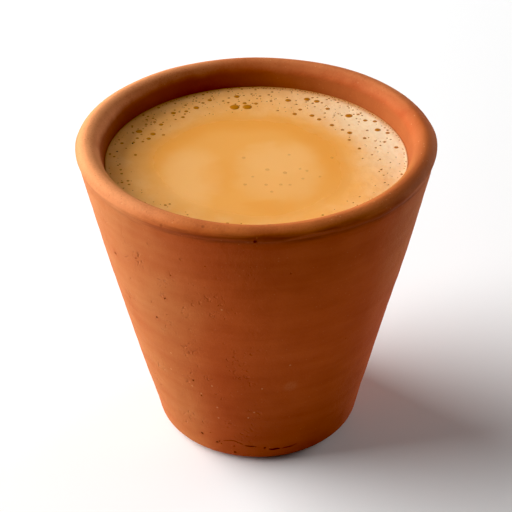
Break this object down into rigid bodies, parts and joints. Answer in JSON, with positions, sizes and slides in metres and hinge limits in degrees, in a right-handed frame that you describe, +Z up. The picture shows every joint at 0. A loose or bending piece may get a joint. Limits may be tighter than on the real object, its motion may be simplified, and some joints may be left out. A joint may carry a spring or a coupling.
{
  "type": "clay cup of masala chai",
  "caption": "Tapered hand-thrown clay cup with a rolled lip, filled with milky masala chai and a ring of froth.",
  "frame": {"origin": "centre of the cup's flat foot, on the surface that it stands on", "axes": "+Z up along the cup's axis; -Y is the side that faces the viewer; +X to the viewer's right"},
  "size_m": [0.0804, 0.0804, 0.075],
  "materials": {
    "fired_clay": "matt unglazed terracotta",
    "milky_chai": "glossy milky liquid",
    "chai_froth": "satin fine foam"
  },
  "bodies": {
    "root": {"clay_cup": "fired_clay", "chai": "milky_chai", "froth": "chai_froth"}
  },
  "joints": []
}
